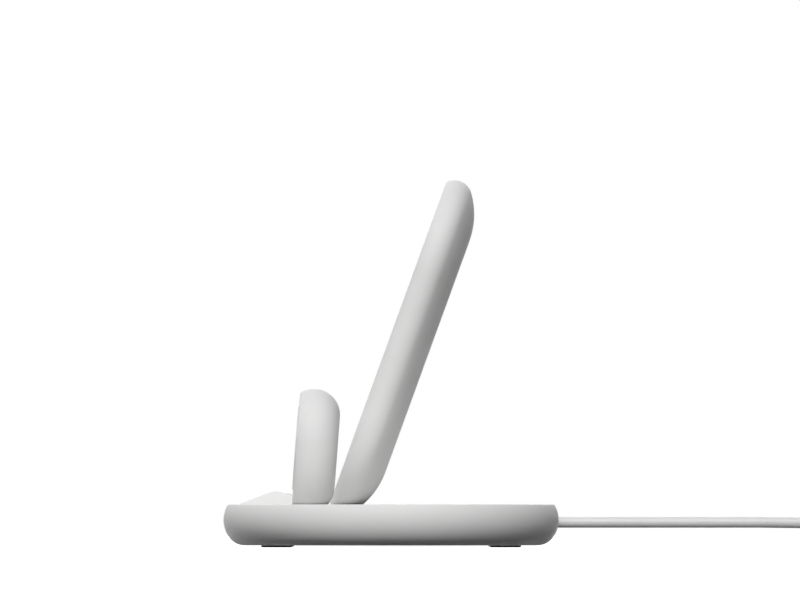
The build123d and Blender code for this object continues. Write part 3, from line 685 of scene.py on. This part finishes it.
sideways = Matrix(((0, 0, 1, 0), (1, 0, 0, 0), (0, 1, 0, 0), (0, 0, 0, 1)))
crest = eased([(toe_y, base_top), (crest_y, crest_z), (stand_root, base_top)], 1, 1.25 * mm, 8)
wedge_outline = [(toe_y, base_top - wedge_sink)] + crest + [(stand_root, base_top - wedge_sink)]
rest_wedge = block("rest_wedge", wedge_outline, stand_x - wedge_half, stand_x + wedge_half, sideways)
wedge_plan = Matrix.Translation((stand_x, (toe_y + stand_root) / 2, 0))
wedge_corners = round_corners(2 * wedge_half, stand_root - toe_y, 3 * mm)
wedge_crop = block("wedge_crop", wedge_corners, 0, 40 * mm, wedge_plan)
worked(rest_wedge, ("INTERSECT", wedge_crop))
softened(rest_wedge, 0.6 * mm)
dish_arc = (dish_slope**2 + dish_depth**2) / (2 * dish_depth)
dish_sweep = math.asin(dish_slope / dish_arc)
dish_wall = [
    (dish_floor_half + dish_arc * math.sin(turn), dish_arc * (1 - math.cos(turn)) - dish_depth)
    for turn in (dish_sweep * k / dish_steps for k in range(dish_steps + 1))
]
dish_section = [(dish_floor_half - 1 * mm, -dish_depth)] + dish_wall
dish_section += [(dish_half, 0.9 * mm), (dish_half, tool_top), (dish_half - 1 * mm, tool_top)]
dish_lip = dish_steps + 1
dish_tool = moulded(
    "dish_tool",
    eased(dish_section, dish_lip, 0.3 * mm),
    dish_half,
    dish_run,
    Matrix.Translation((dish_x, dish_y, base_top)),
    satin_shell,
)
pocket_outline = round_corners(strip_length + 2 * strip_gap, strip_width + 2 * strip_gap, 1.1 * mm)
pocket_tool = block("pocket_tool", pocket_outline, -strip_sink, tool_top, on_slope)


def leg_way(name, x, root, tilt, depth, width):
    """Passage for a bracket leg through the cover."""
    place = leaning(x, root, tilt, 0)
    low, high = -depth - leg_clear, -depth + leg_sheet + leg_clear
    along, across = 6 * mm, width / 2 + leg_clear
    outline = [(-along, -across), (along, -across), (along, across), (-along, across)]
    return block(name, outline, low, high, place)


stand_way = leg_way("stand_way", stand_x, stand_root, stand_tilt, stand_leg_depth, stand_leg_width)
post_way = leg_way("post_way", post_x, post_root, post_tilt, post_leg_depth, post_leg_width)
cover_section = plate_section(cover_half, cover_thick)
top_cover = moulded("top_cover", cover_section, cover_half, base_run, on_base, satin_shell)
worked(
    top_cover,
    ("DIFFERENCE", dish_tool),
    ("DIFFERENCE", stand_way),
    ("DIFFERENCE", post_way),
    ("UNION", rest_wedge),
    ("DIFFERENCE", pocket_tool),
)
fitted(top_cover, "white_cover", "base_top_cover")

# Rest strip: a pad of pale grey silicone, glued into a pocket in the slope of the wedge and a
# hair proud of it, so that the lower edge of a phone doesn't slip or scratch.
soft_silicone = moulded_plastic(
    "soft_silicone",
    light=(0.60, 0.60, 0.60, 1),
    dark=(0.54, 0.54, 0.54, 1),
    rough_low=0.62,
    rough_high=0.78,
    grain=0.3 * mm,
    depth=0.03 * mm,
    specular=0.35,
)
strip_outline = round_corners(strip_length, strip_width, 1 * mm)
rest_strip = block("rest_strip", strip_outline, -strip_sink, strip_proud, on_slope)
softened(rest_strip, 0.18 * mm)
rest_strip.data.materials.append(soft_silicone)
fitted(rest_strip, "soft_rest", "phone_rest_pad")

# Phone stand: a leaning pebble-shaped shell with a flat face plate let into its front. Both
# are satin white mouldings; the shell stands on the cover and its bracket holds it down.
stand_frame = leaning(stand_x, stand_root, stand_tilt, stand_rise)
stand_section = pebble_shell(stand_half, stand_edge, face_thick)
stand_shell = moulded(
    "stand_shell", stand_section, stand_half, stand_run, stand_frame, satin_shell, level=base_top
)
fitted(stand_shell, "white_shell", "phone_stand_shell")
stand_plate_half = stand_half - brow(*stand_edge) - rim - seam
stand_plate_section = plate_section(stand_plate_half, face_thick)
stand_plate = moulded(
    "stand_plate", stand_plate_section, stand_plate_half, stand_run, stand_frame, satin_shell
)
fitted(stand_plate, "white_cover", "phone_stand_face")

# Watch post: the same kind of shell at a third of the size, nearly upright, with a face plate
# that is bored for the charging puck.
post_edge = (13.0 * mm, 4.8 * mm, 8.1 * mm, 3.4 * mm)
puck_radius = 13.25 * mm
puck_flange = 0.8 * mm
flange_clear = 0.35 * mm
puck_gap = 0.15 * mm
post_half = puck_radius + puck_flange + flange_clear + ledge + rim + brow(*post_edge)
post_run = 1.3 * mm
post_sink = 2.35 * mm    # cut off below the base top, along the post
post_rise = post_run / 2 + post_half - post_sink
post_frame = leaning(post_x, post_root, post_tilt, post_rise)
puck_frame = leaning(post_x, post_root, post_tilt, post_rise + post_run / 2)
post_section = pebble_shell(post_half, post_edge, face_thick)
post_shell = moulded(
    "post_shell", post_section, post_half, post_run, post_frame, satin_shell, level=base_top
)
fitted(post_shell, "white_shell", "watch_post_shell")
post_plate_half = post_half - brow(*post_edge) - rim - seam
post_plate_section = plate_section(post_plate_half, face_thick)
post_plate = moulded(
    "post_plate", post_plate_section, post_plate_half, post_run, post_frame, satin_shell
)
puck_bore_radius = puck_radius + puck_gap
puck_bore_section = [(puck_bore_radius, tool_top), (puck_bore_radius, -5 * mm)]
puck_bore = moulded(
    "puck_bore", puck_bore_section, puck_bore_radius, 0, puck_frame, satin_shell, around=96
)
worked(post_plate, ("DIFFERENCE", puck_bore))
fitted(post_plate, "white_cover", "watch_post_face")

# Charging puck: a glossy white cap with a shallow hollow that seats the back of a watch. Its
# flange is trapped behind the face plate, over a wound coil, a magnet and a ferrite shield.
puck_proud = 0.3 * mm
puck_hollow = 0.5 * mm
puck_brim = 0.8 * mm
puck_wall = 1 * mm
puck_depth = 2 * mm
puck_room = puck_radius - puck_wall
puck_inside = puck_proud - puck_hollow - puck_wall
puck_back = puck_inside - puck_depth
puck_flange_edge = puck_radius + puck_flange
hollow_edge = puck_radius - puck_brim
hollow_steps = 20
puck_section = []
for step in range(1, hollow_steps + 1):
    sag = puck_hollow * (0.5 + 0.5 * math.cos(math.pi * step / hollow_steps))
    puck_section.append((hollow_edge * step / hollow_steps, puck_proud - sag))
puck_section += [
    (puck_radius, puck_proud),
    (puck_radius, -face_thick),
    (puck_flange_edge, -face_thick),
    (puck_flange_edge, puck_back),
    (puck_room, puck_back),
    (puck_room, puck_inside),
    (1 * mm, puck_inside),
]
gloss_white = moulded_plastic(
    "gloss_white",
    light=(0.84, 0.84, 0.835, 1),
    dark=(0.82, 0.82, 0.815, 1),
    rough_low=0.14,
    rough_high=0.22,
    grain=0.8 * mm,
    depth=0.004 * mm,
    specular=0.5,
)
rounded_puck = eased(puck_section, hollow_steps, 0.2 * mm)
puck_cap = moulded("puck_cap", rounded_puck, puck_radius, 0, puck_frame, gloss_white, around=96)
fitted(puck_cap, "puck_white", "watch_puck_cap")
puck_wire = 1.2 * mm
puck_coil_inner, puck_coil_outer = 6.65 * mm, puck_room - puck_gap
puck_coil_frame = leaning(
    post_x, post_root, post_tilt, post_rise + post_run / 2, puck_inside - puck_wire / 2
)
wound_coil("puck_coil", puck_coil_inner, puck_coil_outer, puck_wire, puck_coil_frame, "watch_coil")
plated_nickel = rolled_metal(
    "plated_nickel",
    light=(0.66, 0.64, 0.60, 1),
    dark=(0.58, 0.56, 0.52, 1),
    rough_low=0.16,
    rough_high=0.26,
    lines=1200,
)
finish_in(plated_nickel, "watch_magnet")
finish_in(sintered_ferrite, "watch_ferrite_shield")

# Cable outlet: a soft white bushing pressed through the rear wall of the tray, with the flat
# pair of leads that runs from the end of the sheath to the connector on the board.
soft_sheath = moulded_plastic(
    "soft_sheath",
    light=(0.80, 0.80, 0.795, 1),
    dark=(0.76, 0.76, 0.755, 1),
    rough_low=0.40,
    rough_high=0.52,
    grain=0.4 * mm,
    depth=0.02 * mm,
    specular=0.45,
)
finish_in(soft_sheath, "cable_grommet", "cable_leads")

# Power cable: one soft white lead, 3.5 mm thick, straight out of the rear outlet. The length
# that is put away lies behind the stand as nine turns, a thickness apart, held by a tie.
cable_thick = 3.5 * mm
drift_angle = math.radians(3)
bend_y = 92 * mm
second_run = 51 * mm
coil_stub = 23 * mm
tail_run = 38 * mm
tail_height = 3.2 * mm
ahead = Vector((-math.sin(drift_angle), math.cos(drift_angle), 0))
aside = Vector((-math.cos(drift_angle), -math.sin(drift_angle), 0))
cable_entry = Vector((0, 41.75 * mm, cable_height))
cable_bend = Vector((0, bend_y, cable_height))
cable_end = cable_bend + ahead * second_run
coil_middle = 19.25 * mm
coil_height = 6.15 * mm
coil_centre = cable_end + ahead * coil_stub + aside * coil_middle
coil_centre.z = coil_height
turn_places = [(1, -1), (1, 0), (0, 0), (0, -1), (-1, -1), (-1, 0), (-1, 1), (0, 1), (1, 1)]
last_turn = len(turn_places) - 1
turn_angle = 330         # each turn slips to its next place a little earlier than the one before
slip_angle = 60
point_angle = 15
corner_share = 1.0086    # the curve cuts its points' corners, so they lie a little further out
route = [cable_entry, cable_bend, cable_end]
for number in range(len(turn_places) * turn_angle // point_angle + 1):
    angle = number * point_angle
    turn = min(angle // turn_angle, last_turn)
    across, up = turn_places[turn]
    into, left = angle - turn * turn_angle, (turn + 1) * turn_angle - angle
    if turn < last_turn and left < slip_angle / 2:
        share = 0.5 - left / slip_angle
        across += (turn_places[turn + 1][0] - across) * share
        up += (turn_places[turn + 1][1] - up) * share
    elif turn > 0 and into < slip_angle / 2:
        share = 0.5 - into / slip_angle
        across += (turn_places[turn - 1][0] - across) * share
        up += (turn_places[turn - 1][1] - up) * share
    radius = (coil_middle + across * cable_thick) * corner_share
    turned = math.radians(angle)
    spot = coil_centre + (ahead * math.sin(turned) - aside * math.cos(turned)) * radius
    route.append(spot + Vector((0, 0, up * cable_thick)))
coil_exit = coil_centre + ahead * coil_middle
coil_exit.z = tail_height
tail_start = coil_exit + aside * coil_stub
tail_end = tail_start + aside * tail_run
route += [tail_start, tail_end]

cable_line = bpy.data.curves.new("power_lead", "CURVE")
cable_line.dimensions = "3D"
cable_line.bevel_depth = cable_thick / 2
cable_line.bevel_resolution = 5
cable_line.use_fill_caps = True
run = cable_line.splines.new("NURBS")
run.points.add(len(route) - 1)
for point, spot in zip(run.points, route):
    point.co = (*spot, 1)
run.order_u = 3
run.use_endpoint_u = True
run.resolution_u = 4
power_lead = bpy.data.objects.new("power_lead", cable_line)
bpy.context.scene.collection.objects.link(power_lead)
cable_line.materials.append(soft_sheath)
fitted(power_lead, "cable_white", "power_cable", "cable_coil", "cable_tail")

# Tie: a white hook-and-loop strap wrapped round the bundle of turns, its end lapped over
# itself on the outside.
loop_weave = moulded_plastic(
    "loop_weave",
    light=(0.74, 0.74, 0.735, 1),
    dark=(0.60, 0.60, 0.595, 1),
    rough_low=0.80,
    rough_high=0.95,
    grain=0.5 * mm,
    depth=0.2 * mm,
    specular=0.2,
)
tie_place = coil_centre + aside * coil_middle
upward = Vector((0, 0, 1))
tie_turn = Matrix((aside, upward, aside.cross(upward))).transposed().to_4x4()
tie_frame = Matrix.Translation(tie_place) @ tie_turn
tie_width = 6 * mm
tie_thick, lap_thick = 0.5 * mm, 0.45 * mm
tie_side, lap_side = 11.3 * mm, 12.3 * mm
strap_edge = [
    (0, -0.44), (0.12, -0.5), (0.88, -0.5), (1, -0.44), (1, 0.44), (0.88, 0.5), (0.12, 0.5), (0, 0.44),
]


def strap(outline, thick, width, place, body):
    """Adds a flat strap that follows a line of points, with a thickness outward and soft edges."""
    closed = (Vector(outline[0]) - Vector(outline[-1])).length < 1e-9
    points = [Vector(p) for p in (outline[:-1] if closed else outline)]
    rows = []
    for i, p in enumerate(points):
        before = points[i - 1] if closed or i else p
        after = points[(i + 1) % len(points)] if closed or i < len(points) - 1 else p
        along = (after - before).normalized()
        out = Vector((along.y, -along.x))
        spots = [Vector((*(p + out * depth * thick), side * width)) for depth, side in strap_edge]
        rows.append([body.verts.new(place @ spot) for spot in spots])
    spans = len(rows) if closed else len(rows) - 1
    for i in range(spans):
        a, b = rows[i], rows[(i + 1) % len(rows)]
        for k in range(len(a)):
            n = (k + 1) % len(a)
            body.faces.new((a[k], a[n], b[n], b[k]))
    if not closed:
        body.faces.new(rows[0])
        body.faces.new(rows[-1])


tie_line = round_corners(tie_side, tie_side, 2.2 * mm, 6)
lap_line = round_corners(lap_side, lap_side, 2.7 * mm, 6)
body = bmesh.new()
strap(tie_line + tie_line[:1], tie_thick, tie_width, tie_frame, body)
strap(lap_line[-4:] + lap_line[:11], lap_thick, tie_width, tie_frame, body)
bmesh.ops.recalc_face_normals(body, faces=body.faces)
tie_shape = bpy.data.meshes.new("coil_tie")
body.to_mesh(tie_shape)
body.free()
smooth(tie_shape, 50)
coil_tie = bpy.data.objects.new("coil_tie", tie_shape)
bpy.context.scene.collection.objects.link(coil_tie)
tie_shape.materials.append(loop_weave)
fitted(coil_tie, "tie_white", "cable_tie")

# Plug: a soft moulded grip over the end of the lead, with a ribbed neck that keeps the cable
# from kinking, and a folded shell of plated steel that goes into the adapter.
plug_turn = Matrix((upward.cross(aside), upward, aside)).transposed().to_4x4()
plug_frame = Matrix.Translation(tail_end) @ plug_turn
neck_ribs, rib_step = 4, 1.25
rib_radius, rib_groove = 2.6, 2.2
# Rows along the grip, in millimetres: reach, half width, half height, corner.
plug_rows = [(0.0, 2.1, 2.1, 2.1), (0.25, 2.45, 2.45, 2.45)]
for rib in range(neck_ribs):
    start = 0.4 + rib * rib_step
    for onward, radius in ((0, rib_radius), (0.65, rib_radius), (0.8, rib_groove), (1.1, rib_groove)):
        plug_rows.append((start + onward, radius, radius, radius))
plug_rows += [
    (5.5, 2.7, 2.5, 2.45),
    (5.8, 3.6, 2.6, 2.45),
    (6.2, 4.6, 2.75, 2.45),
    (6.8, 5.2, 2.95, 2.4),
    (7.6, 5.42, 3.12, 2.4),
    (9.0, 5.5, 3.2, 2.4),
    (17.0, 5.5, 3.2, 2.4),
    (25.2, 5.5, 3.2, 2.4),
    (25.7, 5.38, 3.08, 2.3),
    (26.0, 5.05, 2.75, 2.0),
]
body = bmesh.new()
rows = []
for reach, half_wide, half_high, corner in plug_rows:
    ring = round_corners(2 * half_wide * mm, 2 * half_high * mm, corner * mm * 0.999, 8)
    rows.append([body.verts.new(plug_frame @ Vector((x, y, reach * mm))) for x, y in ring])
for a, b in zip(rows, rows[1:]):
    for k in range(len(a)):
        n = (k + 1) % len(a)
        body.faces.new((a[k], a[n], b[n], b[k]))
body.faces.new(rows[0])
body.faces.new(rows[-1])
bmesh.ops.remove_doubles(body, verts=body.verts, dist=1e-7)
bmesh.ops.recalc_face_normals(body, faces=body.faces)
grip_shape = bpy.data.meshes.new("plug_body")
body.to_mesh(grip_shape)
body.free()
smooth(grip_shape, 40)
plug_body = bpy.data.objects.new("plug_body", grip_shape)
bpy.context.scene.collection.objects.link(plug_body)
grip_shape.materials.append(soft_sheath)
fitted(plug_body, "plug_white", "plug_grip")
finish_in(plated_nickel, "plug_shell")

# Table, light and view: a pale seamless floor that fades to white, a main soft box above and
# beside the camera, weaker ones at the left and behind, and a long lens level with the base top.
far = 20
floor_corners = [(-far, -far, 0), (far, -far, 0), (far, far, 0), (-far, far, 0)]
floor_shape = bpy.data.meshes.new("floor")
floor_shape.from_pydata(floor_corners, [], [(0, 1, 2, 3)])
floor = bpy.data.objects.new("floor", floor_shape)
bpy.context.scene.collection.objects.link(floor)
floor_paint = bpy.data.materials.new("floor_paint")
floor_paint.use_nodes = True
tree = floor_paint.node_tree
tree.nodes.clear()
seen = shader(tree, "ShaderNodeLightPath", -5)
shown = shader(tree, "ShaderNodeMath", -4, operation="MAXIMUM")
bounce = shader(tree, "ShaderNodeBsdfDiffuse", -3)
bounce.inputs["Color"].default_value = (0.10, 0.10, 0.10, 1)
pale = shader(tree, "ShaderNodeBsdfDiffuse", -3)
pale.inputs["Color"].default_value = (0.70, 0.70, 0.70, 1)
place = shader(tree, "ShaderNodeTexCoord", -6)
away = shader(tree, "ShaderNodeVectorMath", -5, operation="LENGTH")
fade = shader(tree, "ShaderNodeMapRange", -4)
fade.inputs["From Min"].default_value = 0.5
fade.inputs["From Max"].default_value = 2.0
fade.inputs["To Min"].default_value = 0.86
fade.inputs["To Max"].default_value = 1.0
glow = shader(tree, "ShaderNodeEmission", -3)
white = shader(tree, "ShaderNodeAddShader", -2)
pick = shader(tree, "ShaderNodeMixShader", -1)
out = shader(tree, "ShaderNodeOutputMaterial", 0)
for start, stop in (
    (place.outputs["Object"], away.inputs[0]),
    (away.outputs["Value"], fade.inputs["Value"]),
    (fade.outputs["Result"], glow.inputs["Strength"]),
    (seen.outputs["Is Camera Ray"], shown.inputs[0]),
    (seen.outputs["Is Glossy Ray"], shown.inputs[1]),
    (shown.outputs[0], pick.inputs["Fac"]),
    (bounce.outputs[0], pick.inputs[1]),
    (pale.outputs[0], white.inputs[0]),
    (glow.outputs[0], white.inputs[1]),
    (white.outputs[0], pick.inputs[2]),
    (pick.outputs[0], out.inputs["Surface"]),
):
    tree.links.new(start, stop)
floor_shape.materials.append(floor_paint)

studio = bpy.data.worlds.new("studio")
bpy.context.scene.world = studio
studio.use_nodes = True
tree = studio.node_tree
tree.nodes.clear()
seen = shader(tree, "ShaderNodeLightPath", -5)
shown = shader(tree, "ShaderNodeMath", -4, operation="MAXIMUM")
also = shader(tree, "ShaderNodeMath", -3, operation="MAXIMUM")
level = shader(tree, "ShaderNodeMapRange", -2)
level.inputs["To Min"].default_value = 0.02
level.inputs["To Max"].default_value = 1.0
surround = shader(tree, "ShaderNodeBackground", -1)
surround.inputs["Color"].default_value = (1, 1, 1, 1)
out = shader(tree, "ShaderNodeOutputWorld", 0)
for start, stop in (
    (seen.outputs["Is Camera Ray"], shown.inputs[0]),
    (seen.outputs["Is Glossy Ray"], shown.inputs[1]),
    (shown.outputs[0], also.inputs[0]),
    (seen.outputs["Is Transmission Ray"], also.inputs[1]),
    (also.outputs[0], level.inputs["Value"]),
    (level.outputs[0], surround.inputs["Strength"]),
    (surround.outputs[0], out.inputs["Surface"]),
):
    tree.links.new(start, stop)

lit_point = Vector((0, 0, 0.05))


def soft_box(name, place, width, power, shines=True):
    """A square soft box that faces the charger, with or without a reflection in it."""
    made = bpy.data.lights.new(name, "AREA")
    made.shape = "SQUARE"
    made.size = width
    made.energy = power
    lamp = bpy.data.objects.new(name, made)
    lamp.location = place
    lamp.rotation_mode = "QUATERNION"
    lamp.rotation_quaternion = (lit_point - Vector(place)).to_track_quat("-Z", "Y")
    lamp.visible_camera = False
    lamp.visible_glossy = shines
    bpy.context.scene.collection.objects.link(lamp)


soft_box("main_soft_box", (1.55, 0.0, 1.3), 0.9, 31)
soft_box("left_soft_box", (1.35, -1.0, 1.1), 0.8, 5)
soft_box("front_soft_box", (-1.2, -1.6, 0.7), 1.0, 12, shines=False)
soft_box("rear_soft_box", (-1.9, 0.2, 0.9), 1.0, 14, shines=False)
soft_box("top_soft_box", (-0.5, 0.0, 1.7), 1.0, 2.5, shines=False)

view_distance = 6.0
picture_width = 0.254    # metres across the picture at the charger
seen_point = Vector((0, 0.0028, 0.0784))
lens = bpy.data.cameras.new("photo_camera")
lens.sensor_width = 36
lens.lens = lens.sensor_width * view_distance / picture_width
lens.clip_start = 0.05
lens.clip_end = 60
camera = bpy.data.objects.new("photo_camera", lens)
camera.location = (view_distance, seen_point.y, 0.0137)
camera.rotation_mode = "QUATERNION"
camera.rotation_quaternion = (seen_point - camera.location).to_track_quat("-Z", "Y")
bpy.context.scene.collection.objects.link(camera)
bpy.context.scene.camera = camera
bpy.context.scene.view_settings.view_transform = "Standard"
